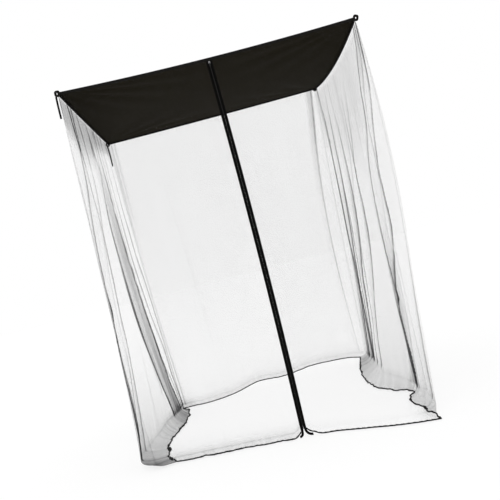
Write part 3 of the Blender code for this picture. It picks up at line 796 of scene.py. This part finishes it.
zip_share = ZIP_HALF / (2 * ROOF_HALF)
Wall = namedtuple("Wall", "side first folds last ends flat")
front_left_rows = [Fold(row.top * (0.5 - zip_share), *row[1:]) for row in FRONT_LEFT_FOLDS]
front_right_rows = [
    Fold(0.5 + zip_share + row.top * (0.5 - zip_share), *row[1:]) for row in FRONT_RIGHT_FOLDS
]
WALLS = {
    "left": Wall("left", (0, "front_left"), LEFT_FOLDS, (1, "back_left"), ("seam", "seam"), (2.20, 2.10)),
    "right": Wall(
        "right", (0, "front_right"), RIGHT_FOLDS, (1, "back_right"), ("seam", "seam"), (2.20, 2.10)
    ),
    "back": Wall("back", (0, "back_left"), BACK_FOLDS, (1, "back_right"), ("seam", "seam"), (1.60, 2.05)),
    "front_left": Wall(
        "front",
        (0, "front_left"),
        front_left_rows,
        (0.5 - zip_share, "zip_left"),
        ("seam", "zip"),
        (0.80, 2.08),
    ),
    "front_right": Wall(
        "front",
        (0.5 + zip_share, "zip_right"),
        front_right_rows,
        (1, "front_right"),
        ("zip", "seam"),
        (0.80, 2.12),
    ),
}
nets = {}
hem_lines = {}
for name, panel in WALLS.items():
    rows = [(top, *SEAMS[seam]) for top, seam in (panel.first, panel.last)]
    rows[1:1] = panel.folds
    nets[name], hem_lines[name] = netting(name, panel.side, rows, panel.ends)
    nets[name].data.materials.append(net_finish)

# ---------------------------------------------------------------------------------------------
# Hem binding: narrow black tape rolled round the lower edge of each wall and stitched. The
# gathered net makes it lumpy. It lies on the floor, and hangs a little clear behind.
hem_finish, shader, lengths, place = new_finish("rolled_hem_tape", 0.85, gloss=0.12)
weave = woven(lengths, 0.0008)
lumps = place.cloud(160.0, 2.0)
feed(
    shader,
    Base_Color=(weave * 0.4 + lumps * 0.4).tint(TAPE_COLOUR, TAPE_WORN),
    Roughness=0.92 - weave * 0.14,
    Normal=(weave * 0.3 + lumps * 0.7).relief(0.0006, 0.6),
)
HEM_SIDES = 12
HEM_SWELL = 0.35
HEM_STEP = 0.006


def rolled(name, line, radius, swell, material, ruffle):
    """A rolled tape along a line, whose radius swells and shrinks by this share. Where the net
    ruffles it, it lies flatter and wider by the ruffle."""
    points = np.array([tuple(point) for point in line])
    steps = np.linalg.norm(points[1:] - points[:-1], axis=1)
    run = np.concatenate([[0], np.cumsum(steps)])
    count = int(run[-1] / HEM_STEP)
    even = np.linspace(0, run[-1], count)
    points = np.stack([np.interp(even, run, points[:, axis]) for axis in range(3)], 1)
    along = np.gradient(points, axis=0)
    along /= np.linalg.norm(along, axis=1)[:, None]
    aside = np.cross(along, (0, 0, 1.0))
    aside /= np.linalg.norm(aside, axis=1)[:, None]
    upward = np.cross(aside, along)
    lump = 1 - swell * (0.5 + 0.25 * np.sin(even * 210) + 0.25 * np.sin(even * 487 + 1))
    frill = np.clip(2.2 * kinks(even, 0.026, len(name) + 5) + 0.15 * np.sin(even * 19), 0, 1)
    run_in = np.clip(np.minimum(even, run[-1] - even) / 0.05, 0, 1)
    rings = []
    for angle in np.linspace(0, 2 * np.pi, HEM_SIDES, endpoint=False):
        size = (radius * lump)[:, None]
        low = radius * (1 - lump)
        wide = size + (ruffle * frill * run_in)[:, None]
        ring = points + aside * np.cos(angle) * wide + upward * np.sin(angle) * size
        ring[:, 2] -= low
        rings.append([Vector(point) for point in ring])
    piece = cloth_mesh(
        name, rings, lambda i, j: (even[j], i * 2 * np.pi * radius / HEM_SIDES), closed=True
    )
    piece.data.materials.append(material)
    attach(piece, "root")
    return piece


HEM_RUFFLES = {"left": 0.008, "right": 0.004, "back": 0.003, "front_left": 0.008, "front_right": 0.001}
for name, line in hem_lines.items():
    rolled(
        f"hem_tape_{name}", line, HEM_RADIUS, HEM_SWELL, hem_finish, HEM_RUFFLES[name]
    )
    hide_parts(f"hem_binding_{name}")
for name, panel in WALLS.items():
    "gathered" if name in ("left", "right") else "hung"

# ---------------------------------------------------------------------------------------------
# Zip: a black coil zip down the middle of the front. Each woven tape is stitched along the net
# and turns outwards at its foot. Two nylon coils, one sewn on the front of each tape's inner
# edge, hook into each other.
FRONT = -0.80
ZIP_TEETH_WIDTH = 0.0050
ZIP_TAPE_WIDTH = 0.0132
ZIP_TAPE_THICKNESS = 0.0012
ZIP_GAP = 0.0004
ZIP_BENDS = {"left": 0.018, "right": 0.035}
ZIP_COLOUR = (0.0022, 0.0021, 0.0020)
ZIP_WORN = (0.0065, 0.0063, 0.0060)
COIL_WORN = (0.0150, 0.0148, 0.0142)
ZIP_PARTING = 0.0003
ZIP_OPENING = 0.030
ZIP_THREAD = 0.0007
ZIP_LEVELS = 400
TAPE_COLUMNS = 7
COIL_PITCH = 0.0026
COIL_WIRE = 0.00045
COIL_POINTS = 14
COIL_SIDES = 4
COIL_REACH = (0.0009, 0.0026)
COIL_FRONT = 0.0004

zip_finish, shader, lengths, place = new_finish("zip_tape", 0.88, gloss=0.04)
weave = woven(lengths, ZIP_THREAD)
across_tape = lengths.axis(0)
beaded = abs(across_tape - 0.0048) < 0.0007
stitch_row = abs(across_tape - 0.0124) < 0.0005
stitched = stitch_row * ((lengths.axis(1) / 0.0030).share() < 0.7)
feed(
    shader,
    Base_Color=(weave * 0.3 + beaded * 0.3 + stitched * 0.6).tint(ZIP_COLOUR, ZIP_WORN),
    Roughness=0.92 - weave * 0.1 - stitched * 0.2,
    Normal=(weave * 0.4 + beaded * 0.5 + stitched).relief(0.0004, 0.6),
)
coil_finish, shader, lengths, place = new_finish("nylon_coil", 0.45, gloss=0.2)
polish = place.cloud(300.0, 2.0)
feed(
    shader,
    Base_Color=polish.tint(ZIP_WORN, COIL_WORN),
    Roughness=0.38 + polish * 0.2,
    Normal=polish.relief(0.0002, 0.3),
)

zip_top = on_edge("front", 0.5, BINDING_DEPTH + ZIP_GAP)
tape_foot = FLOOR + FLOOR_CLEAR + ZIP_TAPE_WIDTH / 2
coil_foot = tape_foot + ZIP_BENDS["right"]
zip_foot_z = FLOOR + FLOOR_CLEAR + HEM_RADIUS + ZIP_LIFTS["right"] + FOOT


def zip_middle(height):
    """The middle of the coils at this height: a long shallow bow to the right."""
    t = min((zip_top.z - height) / (zip_top.z - zip_foot_z), 1.0)
    return Vector((zip_top.x * (1 - t) + 4 * ZIP_WAIST * t * (1 - t), FRONT, height))


for side, outward in (("left", -1), ("right", 1)):
    bend = ZIP_BENDS[side]
    inner, outer = ZIP_TEETH_WIDTH / 2 + ZIP_GAP, ZIP_HALF
    straight = np.linspace(zip_top.z, tape_foot + bend, ZIP_LEVELS)
    middle = (inner + outer) / 2
    turn = Vector((outward * (middle + bend), FRONT, tape_foot + bend))
    strips = []
    for share in np.linspace(0, 1, TAPE_COLUMNS):
        strip = []
        for height in straight:
            part = np.interp(height - turn.z, (0, ZIP_OPENING), (inner, ZIP_PARTING))
            aside = Vector((outward * (part + (outer - part) * share), 0, 0))
            strip.append(zip_middle(height) + aside)
        across = inner + (outer - inner) * share
        for angle in np.radians(np.linspace(0, 90, 13)[1:]):
            spoke = Vector((-outward * np.cos(angle), 0, -np.sin(angle)))
            strip.append(turn + spoke * (bend + middle - across))
        strips.append(strip)
    runs = [float(straight[0] - height) for height in straight]
    runs += [runs[-1] + bend * np.radians(90) * k / 12 for k in range(1, 13)]
    tape = cloth_mesh(
        f"zip_tape_{side}_woven",
        strips,
        lambda i, j: (i * (ZIP_HALF - ZIP_PARTING) / (TAPE_COLUMNS - 1), runs[j]),
    )
    tape.data.materials.append(zip_finish)
    solid = tape.modifiers.new("thickness", "SOLIDIFY")
    solid.thickness = ZIP_TAPE_THICKNESS * 0.9
    solid.offset = 0.0
    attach(tape, "root")
    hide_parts(f"zip_tape_{side}")


def coil(name, outward):
    """One coil of bent nylon wire, whose loops reach past the middle to hook the other's."""
    turns = int((zip_top.z - coil_foot) / COIL_PITCH) - 1
    phases = np.arange(turns * COIL_POINTS) / COIL_POINTS
    reach_in, reach_out = COIL_REACH
    shift, half = (reach_out - reach_in) / 2, (reach_in + reach_out) / 2
    offset = 0.0 if outward < 0 else 0.45
    points, faces = [], []
    for k, phase in enumerate(phases):
        height = zip_top.z - 0.0012 - (phase + offset) * COIL_PITCH
        aside = outward * (shift + half * np.cos(2 * np.pi * phase))
        forward = ZIP_TAPE_THICKNESS + COIL_FRONT * np.sin(2 * np.pi * phase)
        middle = ROOF_MIDDLE + zip_middle(height) + Vector((aside, -forward, 0))
        for corner in range(COIL_SIDES):
            angle = 2 * np.pi * (corner + 0.5) / COIL_SIDES
            wire = Vector((0, COIL_WIRE * np.cos(angle), COIL_WIRE * np.sin(angle)))
            points.append(tuple(middle + wire))
            if k:
                after = (corner + 1) % COIL_SIDES
                before, now = (k - 1) * COIL_SIDES, k * COIL_SIDES
                faces.append((before + corner, before + after, now + after, now + corner))
    last = (len(phases) - 1) * COIL_SIDES
    faces.append(tuple(range(COIL_SIDES)))
    faces.append(tuple(last + corner for corner in reversed(range(COIL_SIDES))))
    mesh = bpy.data.meshes.new(name)
    mesh.from_pydata(points, [], faces)
    mesh.shade_smooth()
    piece = bpy.data.objects.new(name, mesh)
    bpy.context.scene.collection.objects.link(piece)
    mesh.materials.append(coil_finish)
    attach(piece, "root")
    return piece


for side, outward in (("left", -1), ("right", 1)):
    coil(f"zip_coil_{side}", outward)
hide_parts("zip_teeth")

# The slider is die-cast metal with a light enamel that has rubbed. Its pull is darker.
METALS = {"zip_slider": (0.30, 0.45, 0.55), "zip_pull": (0.03, 0.05, 0.35)}
for name, (worn, bright, rough) in METALS.items():
    metal, shader, lengths, place = new_finish(f"{name}_metal", rough, metallic=1.0)
    rub = place.cloud(420.0, 3.0, 0.6)
    feed(
        shader,
        Base_Color=rub.ramp((0.40, 0.0), (0.62, 1.0)).tint((worn,) * 3, (bright,) * 3),
        Roughness=rough - 0.12 + rub * 0.25,
        Normal=rub.relief(0.0002, 0.25),
    )
    cast = next(piece for piece in bpy.data.objects if piece.name.split(".")[0] == name)
    cast.data.materials.clear()
    cast.data.materials.append(metal)

# ---------------------------------------------------------------------------------------------
# Corner loops and ties: each corner of the roof has a loop of doubled black webbing, sewn on
# behind or before the binding, for a hanging cord. The two on the left carry a loose tie.
Loop = namedtuple("Loop", "x z turn")
LOOPS = {
    "front_left": Loop(0.001, -0.0080, 90),
    "front_right": Loop(0.003, -0.0060, 70),
    "back_left": Loop(0.003, -0.0095, 90),
    "back_right": Loop(-0.002, -0.0085, 90),
}
LOOP_LENGTH = 0.0220
LOOP_WIDTH = 0.0180
LOOP_DEPTH = 0.0034
WEBBING_HALF = 0.0062
LOOP_STEPS = 64
Tie = namedtuple("Tie", "beside length middle end")
TIES = {
    "front_left": Tie(-0.0095, 0.116, -0.001, -0.002),
    "back_left": Tie(-0.006, 0.150, 0.002, 0.001),
}
TIE_HALF = 0.0050
TIE_THICKNESS = 0.0018

webbing_finish, shader, lengths, place = new_finish("woven_webbing", 0.82, gloss=0.08)
ribs = woven(lengths, 0.0012)
fading = place.cloud(120.0, 2.0)
feed(
    shader,
    Base_Color=(ribs * 0.4 + fading * 0.4).tint(TAPE_COLOUR, TAPE_WORN),
    Roughness=0.90 - ribs * 0.15,
    Normal=ribs.relief(0.0005, 0.7),
)
for name, loop in LOOPS.items():
    outward = 1 if "right" in name else -1
    behind = 1 if "back" in name else -1
    offset = (outward * loop.x, behind * (TIE_THICKNESS / 2 + ZIP_GAP + LOOP_DEPTH), loop.z)
    middle = ROOF_CORNERS[name] + Vector(offset)
    turned = Matrix.Rotation(-outward * np.radians(loop.turn), 3, "Y")
    bands = []
    for level in np.linspace(0, 2 * np.pi, 13)[:-1]:
        wide, deep = np.cos(level), np.sin(level)
        wide = np.sign(wide) * abs(wide) ** 0.5 * WEBBING_HALF
        deep = np.sign(deep) * abs(deep) ** 0.5 * LOOP_DEPTH
        band = []
        for angle in np.linspace(0, 2 * np.pi, LOOP_STEPS + 1):
            along = np.sign(np.cos(angle)) * abs(np.cos(angle)) ** 0.7
            across = np.sign(np.sin(angle)) * abs(np.sin(angle)) ** 0.7
            spot = Vector(
                (
                    outward * along * (LOOP_LENGTH / 2 + wide),
                    deep,
                    across * (LOOP_WIDTH / 2 + wide),
                )
            )
            band.append(middle + turned @ spot)
        bands.append(band)
    ring = cloth_mesh(
        f"webbing_loop_{name}",
        bands,
        lambda i, j: (i * 0.0013, j * 0.0012),
        closed=True,
    )
    ring.data.materials.append(webbing_finish)
    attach(ring, "root")
    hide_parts(f"corner_loop_{name}")
    if name not in TIES:
        continue
    tie = TIES[name]
    start = middle + Vector((tie.beside, 0, -LOOP_LENGTH / 2 - LOOP_DEPTH - ZIP_GAP))
    strips = []
    shares = np.linspace(0, 1, 49)
    for across in np.linspace(-TIE_HALF, TIE_HALF, 5):
        strip = []
        for t in shares:
            swing = 4 * tie.middle * t * (1 - t) + tie.end * t * t
            curl = 0.0008 * np.sin(t * 9) * (across / TIE_HALF)
            strip.append(start + Vector((swing + across, curl, -tie.length * t)))
        strips.append(strip)
    strap = cloth_mesh(
        f"loose_tie_{name}",
        strips,
        lambda i, j: (i * TIE_HALF / 2, float(shares[j]) * tie.length),
    )
    strap.data.materials.append(webbing_finish)
    solid = strap.modifiers.new("thickness", "SOLIDIFY")
    solid.thickness = TIE_THICKNESS
    solid.offset = 0.0
    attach(strap, "root")
    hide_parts(f"tie_{name}")

# ---------------------------------------------------------------------------------------------
# Floor and light: a plain white studio floor that runs on out of sight, with white light from
# all round and one large soft lamp to the front.
floor_mesh = bpy.data.meshes.new("studio_floor")
floor_mesh.from_pydata(
    [(-30, -30, -0.0005), (30, -30, -0.0005), (30, 30, -0.0005), (-30, 30, -0.0005)],
    [],
    [(0, 1, 2, 3)],
)
floor = bpy.data.objects.new("studio_floor", floor_mesh)
bpy.context.scene.collection.objects.link(floor)
floor_finish = bpy.data.materials.new("studio_white")
floor_finish.use_nodes = True
floor_shader = floor_finish.node_tree.nodes["Principled BSDF"]
floor_shader.inputs["Base Color"].default_value = (0.28, 0.28, 0.28, 1.0)
floor_shader.inputs["Roughness"].default_value = 0.9
floor_shader.inputs["Specular IOR Level"].default_value = 0.0
floor_shader.inputs["Emission Color"].default_value = (1.0, 1.0, 1.0, 1.0)
floor_shader.inputs["Emission Strength"].default_value = 0.74
floor_mesh.materials.append(floor_finish)

world = bpy.data.worlds.new("studio")
bpy.context.scene.world = world
world.use_nodes = True
world.node_tree.nodes["Background"].inputs["Color"].default_value = (1.0, 1.0, 1.0, 1.0)
world.node_tree.nodes["Background"].inputs["Strength"].default_value = 1.0
lamp_data = bpy.data.lights.new("softbox", "AREA")
lamp_data.shape = "RECTANGLE"
lamp_data.size = 2.5
lamp_data.size_y = 2.5
lamp_data.energy = 20.0
lamp = bpy.data.objects.new("softbox", lamp_data)
bpy.context.scene.collection.objects.link(lamp)
lamp.location = (-2.5, -4.0, 3.0)
lamp.rotation_euler = (Vector((0, 0, 1.0)) - lamp.location).to_track_quat("-Z", "Y").to_euler()
bpy.context.scene.view_settings.view_transform = "Standard"

# ---------------------------------------------------------------------------------------------
# Camera: a 50 mm lens at chest height before the zip, tilted so that the net leans.
camera_data = bpy.data.cameras.new("front_view")
camera_data.lens = 51.07
camera_data.sensor_width = 36.0
camera = bpy.data.objects.new("front_view", camera_data)
bpy.context.scene.collection.objects.link(camera)
bpy.context.scene.camera = camera
CAMERA_STAND = (-0.182, -4.488, 1.010)
YAW, PITCH, ROLL = np.radians((2.24, 0.07, -14.43))
look = Vector((np.sin(YAW) * np.cos(PITCH), np.cos(YAW) * np.cos(PITCH), np.sin(PITCH)))
level = look.cross(Vector((0, 0, 1))).normalized()
upright = level.cross(look)
right = level * np.cos(ROLL) + upright * np.sin(ROLL)
up = right.cross(look)
stand = ROOF_MIDDLE + Vector(CAMERA_STAND) + Vector((0, 0, FLOOR))
camera.matrix_world = Matrix(
    (
        (right.x, up.x, -look.x, stand.x),
        (right.y, up.y, -look.y, stand.y),
        (right.z, up.z, -look.z, stand.z),
        (0, 0, 0, 1),
    )
)
